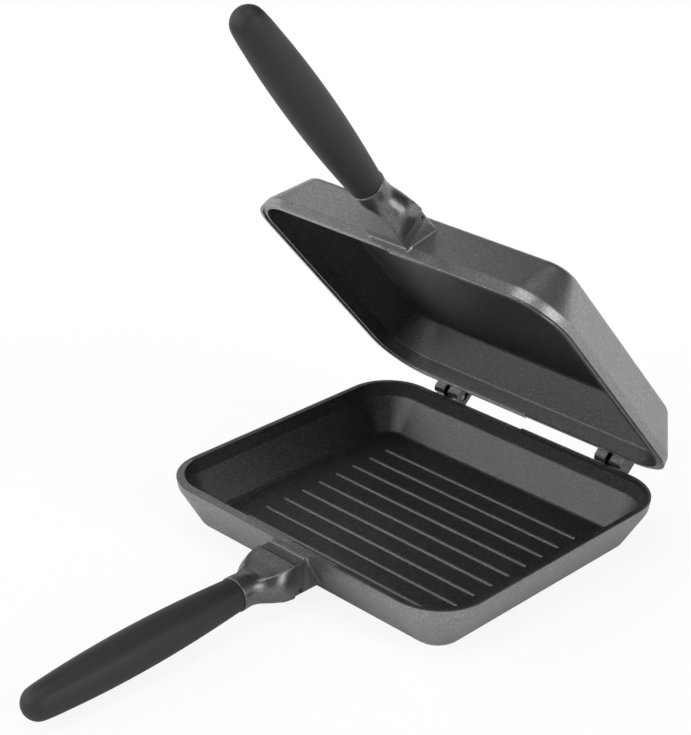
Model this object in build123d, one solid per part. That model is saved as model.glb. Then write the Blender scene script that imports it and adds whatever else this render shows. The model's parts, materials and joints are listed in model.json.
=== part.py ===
from build123d import *
import os
from math import atan2, cos, degrees, radians, sin, sqrt

# Double sided flip pan: two cast rectangular pans hinged along their rear rims, each with
# its own handle. Millimetres. +X runs along the hinge, -Y towards the handles and +Z up.
# The origin is the centre of the lower pan's flat base, and the lid stands part open.

# ---- cast shells, both from one outline ----
rim_width = 270.0             # outside of the rim, along the hinge
rim_depth = 236.0             # outside of the rim, handle side to hinge side
rim_corner = 36.5             # plan corner radius at the rim
rim_wall = 5.6                # thickness of the wall at the rim
shell_depth = 38.2            # parting plane to the underside of the base
band_height = 7.3             # upright band below the parting plane
band_draft = 1.0              # how far the band leans in over its height
base_inset = 19.3             # rim outline to base outline, in plan
base_corner = 15.5            # plan corner radius of the base
base_round = 7.5              # rolled edge between base and sloping wall
knee_round = 5.0              # outside bend between band and sloping wall
wall = 2.9                    # thickness of the sloping wall
floor = 2.5                   # thickness of the floor
inner_band_height = 11.0      # upright band inside the rim
inner_knee_round = 4.0        # inside bend between band and sloping wall
floor_round = 4.0             # inside bend at the floor

# ---- rim lap: each rim has an inner lip on one half and an outer lip on the other ----
lap_height = 1.2              # step from ledge to lip
lap_gap = 0.5                 # side and end clearance between the two lips
outer_lip_width = 2.2
closing_gap = 0.3             # lip to ledge when the pan is shut
lip_end_round = 1.0

# ---- griddle ribs in the lower pan ----
rib_count = 9
rib_pitch = 17.6
rib_length = 182.4
rib_width = 2.9
rib_height = 1.2
rib_round = 1.1
rib_root = 1.0                # how deep a rib is rooted in the floor

# ---- handle boss on the front wall of each shell ----
boss_reach = 10.0             # rim outline to the face that the bracket meets
boss_top = 4.2                # below the parting plane
boss_bottom = 29.3            # below the parting plane
boss_half_top = 17.3
boss_half_bottom = 15.8
boss_round = 1.2
boss_foot_round = 1.2         # bend where the boss runs into the wall
bead_width = 1.9              # raised bead on top of the boss, against the rim
bead_height = 0.8

# ---- handle axis ----
handle_angle = 2.2            # how far the handle leans away from the parting plane
handle_level = 15.7           # axis below the parting plane at the bracket's face

# ---- bracket tenon in the boss, and the roll pin across it ----
tenon_length = 9.0
tenon_side = 3.0              # boss material beside and above the tenon
tenon_floor = 1.5             # boss material below the tenon
tenon_fit = 0.1
tenon_end_gap = 0.3
roll_pin_radius = 1.1
roll_pin_wall = 0.35
roll_pin_slit = 0.5
roll_pin_back = 4.8           # behind the bracket's face
roll_pin_up = 3.0             # above the underside of the boss
roll_pin_recess = 1.2         # each end lies this far inside its hole

# ---- bracket, from the boss to the round neck that carries the grip ----
bracket_step = 0.3            # the bracket stands this much proud of the boss
neck_length = 39.5            # bracket's face to the grip, along the handle axis
neck_radius = 12.1
face_swell = 0.1              # crown and keel at the boss
face_bulge = 0.3
face_corner = 1.1
shoulder_at = 7.5             # sections on the way: corners, crown, keel and bulging sides
shoulder_half_top = 17.35
shoulder_half_bottom = 16.5
shoulder_above = 11.75        # corners above the handle axis
shoulder_below = 13.3         # corners below the handle axis
shoulder_crown = 0.15         # top centre above the corners
shoulder_keel = 0.5           # bottom centre below the corners
shoulder_bulge = 1.9          # sides beyond a straight line between the corners
shoulder_corner = 1.1
belly_at = 12.5
belly_half_top = 17.0
belly_half_bottom = 14.8
belly_above = 11.65
belly_below = 12.9
belly_crown = 0.2
belly_keel = 1.4
belly_bulge = 3.5
belly_corner = 1.2
waist_at = 17.0
waist_half_top = 16.0
waist_half_bottom = 12.8
waist_above = 11.1
waist_below = 11.7
waist_crown = 0.2
waist_keel = 2.6
waist_bulge = 4.2
waist_corner = 1.4
throat_at = 23.0
throat_half_top = 12.6
throat_half_bottom = 10.3
throat_above = 8.9
throat_below = 9.7
throat_crown = 1.2
throat_keel = 3.5
throat_bulge = 3.2
throat_corner = 2.2
collar_at = 30.5
collar_radius = 11.6
flare_at = 35.5
flare_radius = 11.95
round_corner_share = 0.62     # corner rounding that makes a round section, of its radius
round_corner_reach = 1.012    # corners before rounding, of the circle's
tang_across = 10.0            # square tang that keys the grip to the bracket
tang_length = 8.0
tang_fit = 0.1
tang_end_gap = 0.3

# ---- grip: stiff core with a soft sleeve over it ----
grip_length = 167.1
grip_front_radius = 11.4
grip_swell_at = 40.0          # stations along the grip, from its front end
grip_swell_radius = 13.8
grip_belly_at = 82.0
grip_belly_radius = 14.75
grip_taper_at = 124.0
grip_taper_radius = 13.7
grip_nose_radius = 11.5       # ball end
grip_nose_lean = 8.5          # slope at which the taper runs into the ball end
sleeve = 2.2                  # thickness of the soft sleeve

# ---- long bolt that clamps the grip to the bracket ----
bolt_radius = 3.0
bolt_hole_fit = 0.3
bolt_head_radius = 5.0
bolt_head_height = 6.0
bolt_head_gap = 0.6           # head to the inner end of the tenon
bolt_key_across = 5.0
bolt_key_depth = 3.0
washer_radius = 5.5
washer_thickness = 1.6
lock_washer_radius = 4.9
lock_washer_thickness = 1.6
lock_washer_split = 1.0
counterbore_fit = 0.3
insert_radius = 4.6
insert_length = 15.0
insert_at = 12.0              # grip's front end to the insert
insert_reach = 12.0           # how far the bolt goes into the insert
insert_groove_depth = 0.6
insert_groove_length = 3.0
thread_fit = 0.05

# ---- hinge ----
hinge_behind = 10.0           # axis behind the rim outline
hinge_below = 2.4             # axis below the parting plane
hinge_offset = 76.5           # each hinge's middle from the pan's middle
hinge_pin_radius = 2.5
hinge_pin_fit = 0.05          # running clearance in the knuckles
pin_flat_depth = 0.35         # the pin's two flats pass the knuckles' open mouths
mouth_fit = 0.2               # knuckle mouth to the pin's flats, each side
fork_gap = 4.2                # between the two knuckles of one hinge
knuckle_width = 9.3
knuckle_back = 6.2            # behind the axis
knuckle_rim_gap = 0.5         # front of the knuckle to the rim outline
knuckle_drop = 4.8            # below the axis
knuckle_top = 5.5             # above the parting plane
knuckle_front_drop = 1.9      # the front face ends this far below the axis
knuckle_chamfer = 2.6         # from the front face back to the underside
knuckle_back_round = 1.5
knuckle_root = 3.0            # how deep knuckles and tongues run into a rim wall
end_wall = 1.8                # closes the outer knuckle's slot
pin_end_gap = 0.3             # pin to that wall
pin_recess = 1.2              # pin end inside the inner knuckle's end face
tongue_side_gap = 0.3         # tongue to each knuckle
tongue_radius = 5.2
tongue_rise = 0.9             # leg's top above the axis
tongue_drop = 4.6             # leg's underside below the axis
horn_front = 1.5              # stop horn, in front of the axis
horn_back = 6.5               # stop horn, behind the axis
horn_nose = 2.5               # height of the horn's rear face
stop_gap = 0.25               # horn to the lid at full opening
full_opening = 100.0          # closed to the stop

# ---- stored pose ----
rest_opening = 48.8           # the lid's angle from closed

# ---- derived places, in a frame whose z = 0 is the parting plane ----
half_depth = rim_depth / 2
lip_level = (lap_height - closing_gap) / 2
ledge_level = lip_level - lap_height
slope_rise = shell_depth - band_height
slope_run = base_inset - band_draft
wall_run = wall / cos(atan2(slope_run, slope_rise))
floor_level = floor - shell_depth
boss_face = half_depth + boss_reach
lean = radians(handle_angle)
tenon_half = boss_half_bottom - tenon_side
tenon_top = boss_top + tenon_side
tenon_bottom = boss_bottom - tenon_floor
roll_pin_place = Pos(0, roll_pin_back - boss_face, roll_pin_up - boss_bottom)
bolt_stack = bolt_head_gap + bolt_head_height + lock_washer_thickness + washer_thickness
bolt_seat = bolt_stack - tenon_length
hinge_y = half_depth + hinge_behind
mouth_half = hinge_pin_radius - pin_flat_depth + mouth_fit
band_lean = atan2(band_draft, band_height + ledge_level)
band_distance = hinge_behind * cos(band_lean) - (hinge_below - ledge_level) * sin(band_lean)
horn_distance = band_distance - stop_gap
horn_lean = degrees(band_lean) - full_opening + 90
on_base = Pos(0, 0, shell_depth)
hinge_line = Axis((0, hinge_y, -hinge_below), (1, 0, 0))
HANDS = (-1, 1)
NEAR = 0.01


def slope_share(level):
    """Share of the way up the sloping wall, 0 at the base and 1 at the band."""
    return (level + shell_depth) / slope_rise


def wall_inset(level):
    """Outside of the sloping wall, from the rim outline."""
    return base_inset - slope_run * slope_share(level)


def wall_corner(level):
    """Plan corner radius of the sloping wall's outside."""
    return base_corner + (rim_corner - band_draft - base_corner) * slope_share(level)


def outline(inset, corner, level=0):
    """The rim's rounded rectangle, brought in by an inset and set at a level."""
    return Pos(0, 0, level) * RectangleRounded(rim_width - 2 * inset, rim_depth - 2 * inset, corner)


def edges_at(solid, level):
    """The edges of a solid that lie flat at one level."""
    return solid.edges().filter_by_position(Axis.Z, level - NEAR, level + NEAR)


def outer_form():
    """Outside of a shell, up to the ledges of its rim."""
    form = loft([
        outline(base_inset, base_corner, -shell_depth),
        outline(band_draft, rim_corner - band_draft, -band_height),
        outline(0, rim_corner, ledge_level),
    ], ruled=True)
    form = fillet(edges_at(form, -band_height), knee_round)
    return fillet(edges_at(form, -shell_depth), base_round)


def cavity_form():
    """Cooking space of a shell, run on past its rim."""
    knee = -inner_band_height
    form = loft([
        outline(wall_inset(floor_level) + wall_run, wall_corner(floor_level) - wall_run, floor_level),
        outline(wall_inset(knee) + wall_run, wall_corner(knee) - wall_run, knee),
        outline(rim_wall, rim_corner - rim_wall, ledge_level),
        outline(rim_wall, rim_corner - rim_wall, lip_level + lap_height),
    ], ruled=True)
    form = fillet(edges_at(form, knee), inner_knee_round)
    return fillet(edges_at(form, floor_level), floor_round)


def lip(outer, inner, hand):
    """One half of the rim's lap, between two insets, on the -X or +X side."""
    ring = outline(outer, rim_corner - outer) - outline(inner, rim_corner - inner)
    half = ring & Pos(hand * (rim_width + lap_gap) / 2, 0) * Rectangle(rim_width, rim_depth)
    ends = [corner for corner in half.vertices() if abs(corner.X) < lap_gap]
    return Pos(0, 0, ledge_level) * extrude(fillet(ends, lip_end_round), lap_height)


def trapezium(half_top, half_bottom, top, bottom, corner):
    """Rounded trapezium, upright and symmetric."""
    face = make_face(Polyline(
        (-half_bottom, bottom),
        (half_bottom, bottom),
        (half_top, top),
        (-half_top, top),
        close=True,
    ))
    return fillet(face.vertices(), corner)


def boss_outline():
    """Section of the boss, where the bracket meets it."""
    return Plane.XZ.offset(boss_face) * trapezium(
        boss_half_top, boss_half_bottom, -boss_top, -boss_bottom, boss_round)


def boss():
    """Handle boss, run back through the wall, with the bead across its top."""
    block = extrude(boss_outline(), -(boss_reach + base_inset))
    bead = Box(2 * (boss_half_top - boss_round), bead_width + rim_wall, 2 * bead_height)
    front_top = min(bead.edges(), key=lambda edge: edge.center().Y - edge.center().Z)
    bead = fillet(front_top, bead_height / 2)
    return block + Pos(0, (rim_wall - bead_width) / 2 - half_depth, -boss_top) * bead


def handle_plane(distance):
    """Plane across the handle axis, a distance out from the bracket's face; its local y is up."""
    origin = (0, -boss_face - distance * cos(lean), -handle_level - distance * sin(lean))
    return Plane(origin, x_dir=(1, 0, 0), z_dir=(0, -cos(lean), -sin(lean)))


def rod(start, end, radius):
    """Cylinder along the handle axis, between two distances from the bracket's face."""
    return extrude(handle_plane(start) * Circle(radius), end - start)


def tenon(side_growth=0, end_growth=0):
    """Block that plugs the bracket into the boss, or with growths the pocket that takes it."""
    half = tenon_half + side_growth
    top = side_growth - tenon_top
    bottom = -side_growth - tenon_bottom
    face = Plane.XZ.offset(boss_face) * Pos(0, (top + bottom) / 2) * Rectangle(2 * half, top - bottom)
    return extrude(face, -(tenon_length + end_growth))


def roll_pin_hole():
    """Cross hole for the roll pin, through boss and tenon."""
    return roll_pin_place * Rot(0, 90, 0) * Cylinder(roll_pin_radius, 2 * boss_half_top)


def roll_pin():
    """Slit spring pin that locks the tenon in the boss."""
    length = 2 * (boss_half_bottom - roll_pin_recess)
    slit = Pos(roll_pin_radius, 0, 0) * Box(2 * roll_pin_radius, roll_pin_slit, length)
    tube = Cylinder(roll_pin_radius, length) - Cylinder(roll_pin_radius - roll_pin_wall, length) - slit
    return roll_pin_place * Rot(0, 90, 0) * tube


def ribs():
    """Griddle ribs on the floor."""
    rib = extrude(SlotOverall(rib_length, rib_width), rib_height + rib_root)
    rib = fillet(edges_at(rib, rib_height + rib_root), rib_round)
    first = -rib_pitch * (rib_count - 1) / 2
    return [Pos(0, first + i * rib_pitch, floor_level - rib_root) * rib for i in range(rib_count)]


def boss_on_wall():
    """Outside of a shell with its boss, rounded where the boss runs into the wall."""
    form = outer_form()
    block = boss()
    body = form + block
    foot = [edge for edge in new_edges(form, block, combined=body) if edge.center().Z < -boss_top - NEAR]
    return fillet(foot, boss_foot_round)


def shell(inner_hand):
    """One cast half with its boss, cavity up. Its inner lip is on the side given."""
    body = boss_on_wall() - cavity_form()
    body += lip(outer_lip_width + lap_gap, rim_wall, inner_hand)
    body += lip(0, outer_lip_width, -inner_hand)
    return body - tenon(tenon_fit, tenon_end_gap) - roll_pin_hole()


def across_hinge(profile, start, end):
    """Solid between two X places from a profile drawn in (y, z) about the hinge axis."""
    return extrude(Plane.YZ.offset(start) * Pos(hinge_y, -hinge_below) * profile, end - start)


def knuckle_profile():
    """Side view of a lid knuckle, pan shut."""
    front = knuckle_rim_gap - hinge_behind
    root = -hinge_behind - knuckle_root
    top = knuckle_top + hinge_below
    underside = hinge_below - ledge_level
    face = make_face(Polyline(
        (root, top),
        (root, underside),
        (front, underside),
        (front, -knuckle_front_drop),
        (front + knuckle_chamfer, -knuckle_drop),
        (knuckle_back, -knuckle_drop),
        (knuckle_back, top),
        close=True,
    ))
    return fillet(face.vertices().group_by(Axis.X)[-1], knuckle_back_round)


def hook_profile():
    """Bore about the axis with its mouth open to the top, pan shut."""
    reach = knuckle_top + hinge_below
    mouth = Pos(0, reach / 2) * Rectangle(2 * mouth_half, reach)
    return Circle(hinge_pin_radius + hinge_pin_fit) + mouth


def knuckles(hand):
    """The lid's two hooks of one hinge. The outer one is closed at its far end."""
    middle = hand * hinge_offset
    near = hand * fork_gap / 2
    far = near + hand * knuckle_width
    blind = far - hand * end_wall
    inner = across_hinge(knuckle_profile() - hook_profile(), middle - near, middle - far)
    outer = across_hinge(knuckle_profile(), middle + near, middle + far)
    return [inner, outer - across_hinge(hook_profile(), middle + near, middle + blind)]


def tongue(hand):
    """The pan's tongue of one hinge: leg, eye and the horn that stops the lid."""
    half = fork_gap / 2 - tongue_side_gap
    leg_root = -hinge_behind - knuckle_root
    leg = make_face(Polyline((leg_root, tongue_rise), (leg_root, -tongue_drop), (0, -tongue_drop),
                             (0, tongue_rise), close=True))
    horn = make_face(Polyline(
        (-horn_front, 0),
        (tongue_radius, 0),
        (horn_back, horn_distance - horn_nose),
        (horn_back, horn_distance),
        (-horn_front, horn_distance),
        close=True,
    ))
    profile = Circle(tongue_radius) + leg + Rot(0, 0, horn_lean) * horn - Circle(hinge_pin_radius)
    middle = hand * hinge_offset
    return across_hinge(profile, middle - half, middle + half)


def hinge_pin(hand):
    """Pin pressed into the tongue, with two flats in line with the hooks' mouths at full opening."""
    start = hinge_offset - fork_gap / 2 - knuckle_width + pin_recess
    end = hinge_offset + fork_gap / 2 + knuckle_width - end_wall - pin_end_gap
    thickness = 2 * (hinge_pin_radius - pin_flat_depth)
    flats = Rot(0, 0, -full_opening) * Rectangle(thickness, 2 * hinge_pin_radius)
    return across_hinge(Circle(hinge_pin_radius) & flats, hand * start, hand * end)


def crowned(half_top, half_bottom, above, below, crown, keel, bulge, corner):
    """Section of the bracket: four arcs between rounded corners, about the handle axis."""
    side = (half_top + half_bottom) / 2 + bulge
    level = (above - below) / 2
    top_left = (-half_top, above)
    top_right = (half_top, above)
    bottom_left = (-half_bottom, -below)
    bottom_right = (half_bottom, -below)
    face = make_face([
        ThreePointArc(bottom_left, (0, -below - keel), bottom_right),
        ThreePointArc(bottom_right, (side, level), top_right),
        ThreePointArc(top_right, (0, above + crown), top_left),
        ThreePointArc(top_left, (-side, level), bottom_left),
    ])
    return fillet(face.vertices(), corner)


def round_crowned(radius):
    """The same section drawn out to a round one."""
    reach = round_corner_reach * radius / sqrt(2)
    swell = radius - reach
    return crowned(reach, reach, reach, reach, swell, swell, swell, round_corner_share * radius)


def neck():
    """Bracket between the boss and the grip."""
    face = crowned(
        boss_half_top + bracket_step, boss_half_bottom + bracket_step,
        handle_level - boss_top + bracket_step, boss_bottom - handle_level + bracket_step,
        face_swell, face_swell, face_bulge, face_corner)
    shoulder = crowned(
        shoulder_half_top, shoulder_half_bottom, shoulder_above, shoulder_below,
        shoulder_crown, shoulder_keel, shoulder_bulge, shoulder_corner)
    belly = crowned(
        belly_half_top, belly_half_bottom, belly_above, belly_below,
        belly_crown, belly_keel, belly_bulge, belly_corner)
    waist = crowned(
        waist_half_top, waist_half_bottom, waist_above, waist_below,
        waist_crown, waist_keel, waist_bulge, waist_corner)
    throat = crowned(
        throat_half_top, throat_half_bottom, throat_above, throat_below,
        throat_crown, throat_keel, throat_bulge, throat_corner)
    return loft([
        Plane.XZ.offset(boss_face) * Pos(0, -handle_level) * face,
        handle_plane(shoulder_at) * shoulder,
        handle_plane(belly_at) * belly,
        handle_plane(waist_at) * waist,
        handle_plane(throat_at) * throat,
        handle_plane(collar_at) * round_crowned(collar_radius),
        handle_plane(flare_at) * round_crowned(flare_radius),
        handle_plane(neck_length) * round_crowned(neck_radius),
    ])


def bracket():
    """Neck from the boss to the grip, with its tenon and the square tang for the grip."""
    tang = extrude(handle_plane(neck_length) * Rectangle(tang_across, tang_across), tang_length)
    body = neck() + tenon() + tang
    body -= rod(-2 * tenon_length, neck_length + tang_length, bolt_radius + bolt_hole_fit)
    body -= rod(-2 * tenon_length, bolt_seat, washer_radius + counterbore_fit)
    return body - roll_pin_hole()


def grip_form(inset=0):
    """Round grip, swelling to its middle and ending in a ball, brought in by an inset."""
    nose = grip_nose_radius - inset
    nose_centre = grip_length - grip_nose_radius
    turn = radians(grip_nose_lean)
    join = (nose * cos(turn), nose_centre + nose * sin(turn))
    side = Spline(
        (grip_front_radius - inset, 0),
        (grip_swell_radius - inset, grip_swell_at),
        (grip_belly_radius - inset, grip_belly_at),
        (grip_taper_radius - inset, grip_taper_at),
        join,
        tangents=[(grip_swell_radius - grip_front_radius, grip_swell_at), (-sin(turn), cos(turn))],
    )
    ball = TangentArc(join, (0, nose_centre + nose), tangent=(-sin(turn), cos(turn)))
    base = Polyline((0, nose_centre + nose), (0, 0), (grip_front_radius - inset, 0))
    profile = make_face(side + ball + base)
    return handle_plane(neck_length).location * revolve(Plane.XZ * profile, Axis.Z)


def insert_form():
    """Outside of the threaded insert, with the groove that holds it in the core."""
    start = neck_length + insert_at
    middle = start + insert_length / 2
    groove_start = middle - insert_groove_length / 2
    groove_end = middle + insert_groove_length / 2
    groove = rod(groove_start, groove_end, insert_radius) - rod(
        groove_start, groove_end, insert_radius - insert_groove_depth)
    return rod(start, start + insert_length, insert_radius) - groove


def grip_insert():
    """Brass nut moulded into the core."""
    start = neck_length + insert_at
    return insert_form() - rod(start, start + insert_length, bolt_radius + thread_fit)


def grip_core():
    """Stiff inner part of the grip, bored for the tang, the bolt and the insert."""
    socket = Rectangle(tang_across + 2 * tang_fit, tang_across + 2 * tang_fit)
    body = grip_form(sleeve) - insert_form()
    body -= extrude(handle_plane(neck_length) * socket, tang_length + tang_end_gap)
    return body - rod(neck_length, neck_length + insert_at, bolt_radius + bolt_hole_fit)


def grip_sleeve():
    """Soft sleeve moulded over the core."""
    return grip_form() - grip_form(sleeve)


def bolt_washer():
    """Plain washer on the counterbore's seat."""
    start = bolt_seat - washer_thickness
    return rod(start, bolt_seat, washer_radius) - rod(start, bolt_seat, bolt_radius + bolt_hole_fit)


def lock_washer():
    """Split spring washer under the bolt's head."""
    end = bolt_seat - washer_thickness
    start = end - lock_washer_thickness
    ring = rod(start, end, lock_washer_radius) - rod(start, end, bolt_radius + bolt_hole_fit)
    split = Pos(lock_washer_radius / 2, 0) * Rectangle(lock_washer_radius, lock_washer_split)
    return ring - extrude(handle_plane(start) * split, lock_washer_thickness)


def handle_bolt():
    """Socket head bolt from the tenon through the neck into the insert."""
    seat = bolt_seat - washer_thickness - lock_washer_thickness
    top = seat - bolt_head_height
    key = RegularPolygon(bolt_key_across / 2, 6, major_radius=False)
    head = rod(top, seat, bolt_head_radius) - extrude(handle_plane(top) * key, bolt_key_depth)
    return head + rod(seat, neck_length + insert_at + insert_reach, bolt_radius)


def handle_pieces():
    """What each of the two handles is made of, by name."""
    return {
        "handle_bracket": bracket(),
        "bracket_roll_pin": roll_pin(),
        "grip_core": grip_core(),
        "grip_sleeve": grip_sleeve(),
        "grip_insert": grip_insert(),
        "handle_bolt": handle_bolt(),
        "bolt_washer": bolt_washer(),
        "bolt_lock_washer": lock_washer(),
    }


def shut_lid(piece):
    """A piece of the lower half turned over, as it lies on the shut pan."""
    return mirror(piece, about=Plane.XY)


def stored_lid(piece):
    """A piece of the shut lid swung up to the stored pose."""
    return on_base * piece.rotate(hinge_line, -rest_opening)


def model():
    """Every node's solid in the stored pose, by name."""
    lower = shell(HANDS[0]) + ribs()
    upper = shut_lid(shell(HANDS[1]))
    nodes = {}
    for side, hand in zip(("left", "right"), HANDS):
        lower += tongue(hand)
        upper += knuckles(hand)
        nodes[f"{side}_hinge_pin"] = on_base * hinge_pin(hand)
    nodes["lower_shell"] = on_base * lower
    nodes["upper_shell"] = stored_lid(upper)
    for name, piece in handle_pieces().items():
        nodes[f"lower_{name}"] = on_base * piece
        nodes[f"upper_{name}"] = stored_lid(shut_lid(piece))
    return nodes


def main():
    os.makedirs("parts", exist_ok=True)
    for name, piece in model().items():
        piece.label = name
        export_step(piece, f"parts/{name}.step")


if __name__ == "__main__":
    main()
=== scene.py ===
"""Looks of a double sided flip pan: two hinged cast shells with soft touch handles, on a pale stage."""
import json
from math import cos, radians, sin, tan

import bmesh
import bpy
from bpy.props import FloatProperty, FloatVectorProperty, PointerProperty
from bpy.types import Operator, Panel, PropertyGroup
from mathutils import Matrix, Vector


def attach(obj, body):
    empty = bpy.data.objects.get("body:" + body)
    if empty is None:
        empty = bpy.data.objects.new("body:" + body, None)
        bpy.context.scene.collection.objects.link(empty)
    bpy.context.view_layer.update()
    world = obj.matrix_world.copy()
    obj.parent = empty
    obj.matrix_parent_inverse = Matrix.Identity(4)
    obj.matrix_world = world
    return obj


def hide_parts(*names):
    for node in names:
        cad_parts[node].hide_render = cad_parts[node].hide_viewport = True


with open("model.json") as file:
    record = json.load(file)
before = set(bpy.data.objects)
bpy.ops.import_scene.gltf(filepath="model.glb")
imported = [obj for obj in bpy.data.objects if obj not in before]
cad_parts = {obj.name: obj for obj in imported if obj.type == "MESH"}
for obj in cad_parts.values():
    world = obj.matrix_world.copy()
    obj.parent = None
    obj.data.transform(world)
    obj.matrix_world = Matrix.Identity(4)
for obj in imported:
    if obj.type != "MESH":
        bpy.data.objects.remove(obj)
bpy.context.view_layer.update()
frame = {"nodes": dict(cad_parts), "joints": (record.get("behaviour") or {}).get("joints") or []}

bl_info = {
    "name": "Double Sided Flip Pan",
    "version": (1, 0, 0),
    "blender": (4, 5, 0),
    "location": "View3D > Sidebar > Flip Pan",
    "description": "Builds the finishes, the brackets, the grips and the stage of a flip pan",
    "category": "Object",
}

LID_HINGE = next(joint for joint in frame["joints"] if joint["name"] == "lid_hinge")
HALVES = ("lower_", "upper_")
BODY_OF_HALF = {"lower_": "pan", "upper_": "lid"}
MM_PER_M = 1000
# Vertices of a piece, or of the floor, closer than this are one, in metres.
MERGE_DISTANCE, FLOOR_MERGE_DISTANCE = 1e-6, 1e-5

# Grain of the finishes, in cells to a metre.
PAINT_SPRAY, PAINT_PEEL, PAINT_DRIFT, PAINT_FLAKES = 900, 330, 11, 1100
COAT_GRIT, COAT_PATCH, COAT_SPECKS = 850, 160, 1000
RUBBER_GRAIN, RUBBER_CLOUD = 1300, 60
METAL_MARKS, METAL_STAIN = 1500, 220
PLASTIC_GRAIN, PLASTIC_FLOW = 1600, 45
PAPER_CLOUD = 30

# Share of the area that the separate grains cover.
FLAKE_SHARE, SPECK_SHARE = 0.12, 0.10

# Roughness where the grain is lowest.
PAINT_ROUGHNESS, COAT_ROUGHNESS, RUBBER_ROUGHNESS, PLASTIC_ROUGHNESS = 0.34, 0.30, 0.46, 0.40

# How metallic the finishes are, from 0 to 1.
PAINT_METALLIC, COAT_METALLIC, METAL_METALLIC = 0.92, 0.10, 0.95

# Depth of the grain's bump, in metres.
PAINT_DEPTH, RUBBER_DEPTH, METAL_DEPTH, PLASTIC_DEPTH = 0.00016, 0.00008, 0.00004, 0.00005

# How much the ribs' light tone, rubbed wear with a painted highlight, covers the coating.
RUBBED_AND_HIGHLIT_SHARE = 0.8
# How much the rim's corner radius shrinks for each metre that the wall lies further in.
CORNER_SHRINK = 0.9

# Side of a grip: degrees round its ball end. Then shares of the way from the ball's radius to the belly's,
# and from the front end's radius to the belly's, each with the share of the grip's length where it lies.
GRIP_BALL = (0, 9, 20, 33, 47, 62, 76)
GRIP_BACK = ((0.17, 0.900), (0.43, 0.820), (0.677, 0.742), (0.90, 0.630), (1.0, 0.491))
GRIP_FRONT = ((0.93, 0.370), (0.716, 0.239), (0.400, 0.119), (0.100, 0.030))
GRIP_STEPS = 48
# Where the middle of the front edge's round lies, as a share of its radius.
ROUND_MIDDLE = 0.3

# Cross-sections of a handle bracket from the boss to the grip, in millimetres. Each has: distance from the
# bracket's face, ridge out and up, crown above it, side out and up, lower corner out and down, and keel.
BRACKET_SECTIONS = (
    (0.6, 17.6, 11.8, 0.1, 17.9, 1.0, 16.2, 13.9, 0.1),
    (3.5, 17.5, 11.6, 0.1, 18.5, 0.5, 16.4, 13.8, 0.3),
    (7.5, 17.2, 11.2, 0.1, 19.7, -0.5, 16.4, 13.3, 0.8),
    (12.5, 16.0, 10.5, 0.2, 20.8, -1.0, 14.9, 13.0, 1.6),
    (17.0, 13.9, 9.4, 0.4, 20.0, -1.0, 12.8, 12.2, 2.3),
    (22.0, 10.6, 8.0, 1.2, 16.2, -0.8, 10.4, 10.6, 2.5),
    (26.5, 8.7, 8.2, 2.5, 12.9, -0.3, 8.8, 9.2, 3.2),
)
# The round neck that follows: distance from the bracket's face and radius, in millimetres.
BRACKET_NECK = ((31.0, 11.65), (35.5, 11.95), (39.1, 12.1), (39.5, 11.8))
# Points between a cross-section's corners: on its crown and keel, under its ridge, and on its flank. Each has
# the share of the way out and the share of the way up.
CROWN_POINT, SHOULDER_POINT, FLANK_POINT = (0.5, 0.8), (0.80, 0.55), (0.75, 0.5)
# Corners of a ring round a bracket, counted from the middle of its top. The ridges are 2 and 14, the lower
# corners 6 and 10. Their edges are sharp at the boss and fade towards the neck, one value for each ring.
RING_CORNERS = 16
RIDGE_CREASES = (1.0, 1.0, 1.0, 1.0, 0.85, 0.35, 0.0)
CORNER_CREASES = (1.0, 0.9, 0.5, 0.2, 0.0, 0.0, 0.0)
CREASES_OF_CORNER = {2: RIDGE_CREASES, 14: RIDGE_CREASES, 6: CORNER_CREASES, 10: CORNER_CREASES}

# The floor with its rising edge: distance from the middle and height, in metres. It lies just under the pan.
FLOOR_PROFILE = ((0, 0), (1.5, 0), (3.0, 0), (4.6, 0), (5.1, 0.12), (5.4, 0.45), (5.5, 0.9), (5.5, 1.7))
FLOOR_STEPS = 64
FLOOR_DROP = 0.0003
WINDOWS = ("near", "front", "corner", "left", "right", "top")
# The camera's sensor, in millimetres, and the nearest thing that it sees, in metres.
SENSOR_WIDTH = 36
CLIP_START = 0.05


class Socket:
    """An output of a finish's node tree. Adding, subtracting or multiplying it adds the Math node."""

    def __init__(self, finish, output):
        self.finish = finish
        self.output = output

    def math(self, operation, *values):
        """A Math node fed with these values."""
        return self.finish.node("ShaderNodeMath", {"operation": operation}, dict(enumerate(values)))

    def __add__(self, other):
        return self.math("ADD", self, other)

    def __radd__(self, other):
        return self.math("ADD", other, self)

    def __sub__(self, other):
        return self.math("SUBTRACT", self, other)

    def __rsub__(self, other):
        return self.math("SUBTRACT", other, self)

    def __mul__(self, other):
        return self.math("MULTIPLY", self, other)

    def __rmul__(self, other):
        return self.math("MULTIPLY", other, self)

    def above(self, level):
        """1 where this is greater than a level, and 0 elsewhere."""
        return self.math("GREATER_THAN", self, level)

    def at_least(self, level):
        """This, or a level where that is greater."""
        return self.math("MAXIMUM", self, level)

    def at_most(self, level):
        """This, or a level where that is less."""
        return self.math("MINIMUM", self, level)

    def held(self):
        """This, held between 0 and 1."""
        return self.at_least(0).at_most(1)

    def size(self):
        """This without its sign."""
        return self.math("ABSOLUTE", self)

    def root(self):
        """Its square root."""
        return self.math("SQRT", self)

    def rise(self, low, high):
        """A smooth step from 0 at low to 1 at high."""
        values = {"Value": self, "From Min": low, "From Max": high}
        return self.finish.node("ShaderNodeMapRange", {"interpolation_type": "SMOOTHSTEP"}, values)


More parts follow.
